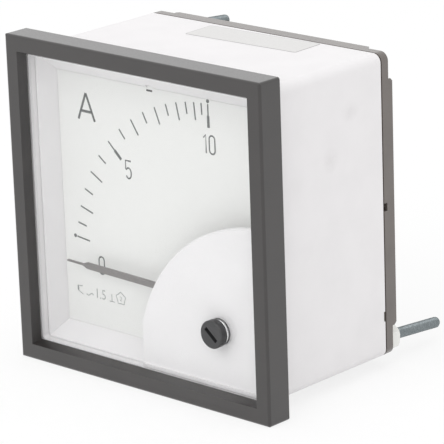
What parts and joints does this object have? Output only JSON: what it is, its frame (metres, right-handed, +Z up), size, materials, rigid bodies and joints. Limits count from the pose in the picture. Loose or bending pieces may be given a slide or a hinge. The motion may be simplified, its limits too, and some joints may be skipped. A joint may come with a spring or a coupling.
{
  "type": "analog panel meter",
  "caption": "Square analog panel meter with a dark bezel, white case, quarter-circle ampere scale, bar pointer, zero adjuster and rear clamp rods.",
  "frame": {"origin": "middle of the plane where the bezel seats on the panel, on the axis of the square case", "axes": "+Y points back through the panel, away from the face; +Z up the dial; +X to the right as seen from the front"},
  "size_m": [0.072, 0.062, 0.072],
  "materials": {
    "dark_plastic": "fine satin, moulded",
    "window": "clear, polished",
    "white_plastic": "satin, moulded",
    "dial_paint": "matt white paint with dark print",
    "rear_plastic": "satin, moulded",
    "adjuster_plastic": "satin",
    "pointer_paint": "thin grey paint",
    "vane_metal": "bare sheet",
    "brass": "turned or stamped",
    "copper": "enamelled wire",
    "steel": "zinc plated",
    "soft_iron": "annealed",
    "frame_alloy": "die cast",
    "black_plastic": "moulded",
    "nylon": "slightly glossy"
  },
  "bodies": {
    "meter": {"front_bezel": "dark_plastic", "window_pane": "window", "case": "white_plastic", "dial_surround": "white_plastic", "dial_plate": "dial_paint", "mechanism_cover": "white_plastic", "front_jewel_screw": "brass", "rear_jewel_screw": "brass", "bearing_bridge": "brass", "bridge_pillars": "brass", "bridge_screws": "steel", "movement_frame": "frame_alloy", "frame_screws": "steel", "carrier_screws": "steel", "coil_bobbin": "black_plastic", "coil_winding": "copper", "fixed_iron": "soft_iron", "damping_chamber": "white_plastic", "damping_lid": "white_plastic", "coil_screws": "steel", "coil_leads": "copper", "lead_tags": "steel", "rear_cover": "rear_plastic", "terminal_studs": "brass", "terminal_nuts": "brass", "terminal_washers": "brass", "spring_washers": "steel", "clamp_rods": "steel", "clamp_nuts": "nylon"},
    "adjuster": {"zero_adjuster": "adjuster_plastic"},
    "lever": {"zero_lever": "brass", "hairspring": "brass"},
    "moving_element": {"pointer": "pointer_paint", "spindle": "steel", "balance_cross": "vane_metal", "balance_weights": "brass", "moving_iron": "soft_iron", "damping_vane": "vane_metal"}
  },
  "joints": [
    {"name": "adjuster_turn", "type": "hinge", "parent": "meter", "child": "adjuster", "pos_m": [0.0203, 0, -0.0194], "axis": [0, 1, 0], "range_deg": [-40, 40]},
    {"name": "lever_swing", "type": "hinge", "parent": "meter", "child": "lever", "pos_m": [0.014, 0, -0.0142], "axis": [0, 1, 0], "range_deg": [-6.3, 6.3]},
    {"name": "pointer_swing", "type": "hinge", "parent": "lever", "child": "moving_element", "pos_m": [0.014, 0, -0.0142], "axis": [0, 1, 0], "range_deg": [0, 90], "stiffness_Nm_per_rad": 0.00003}
  ],
  "couplings": [
    {"joint": "lever_swing", "follows": "adjuster_turn", "ratio": 0.155}
  ]
}
